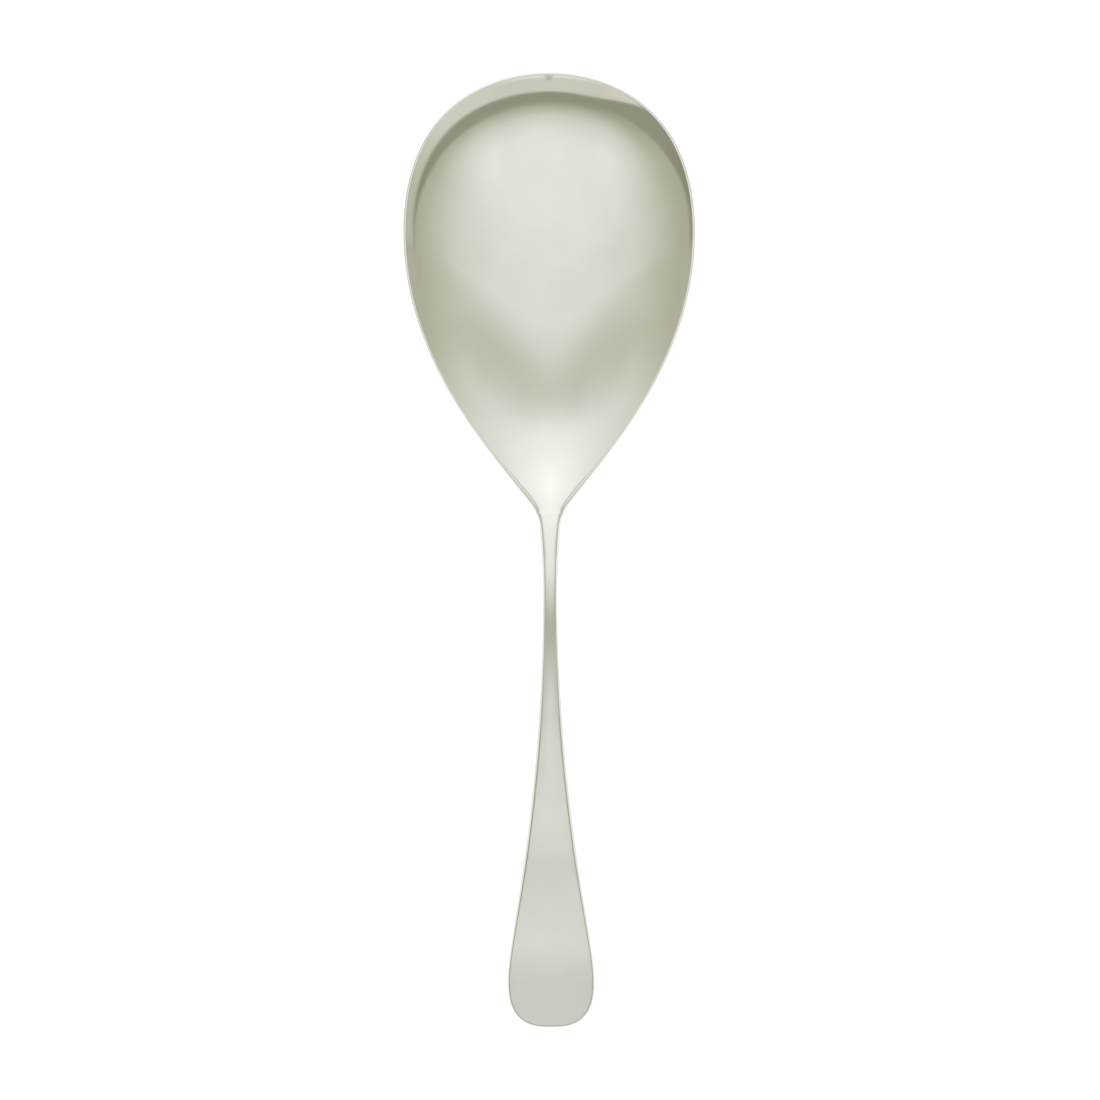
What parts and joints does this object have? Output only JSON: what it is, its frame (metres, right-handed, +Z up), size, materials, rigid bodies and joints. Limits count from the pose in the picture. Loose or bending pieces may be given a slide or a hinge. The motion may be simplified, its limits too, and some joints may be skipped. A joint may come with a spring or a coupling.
{
  "type": "serving spoon",
  "caption": "Large serving spoon in polished steel, with a broad deep egg-shaped bowl and a slim arched handle that widens to a flat rounded end.",
  "frame": {"origin": "on the table, under the middle of the spoon's length and width", "axes": "+Y from the handle's end towards the bowl's tip, +X to the right seen from above, +Z up out of the hollow"},
  "size_m": [0.0762, 0.25, 0.0239],
  "materials": {
    "bowl_steel": "mirror polished stainless steel",
    "handle_steel": "mirror polished stainless steel"
  },
  "bodies": {
    "root": {"bowl": "bowl_steel", "handle": "handle_steel"}
  },
  "joints": []
}
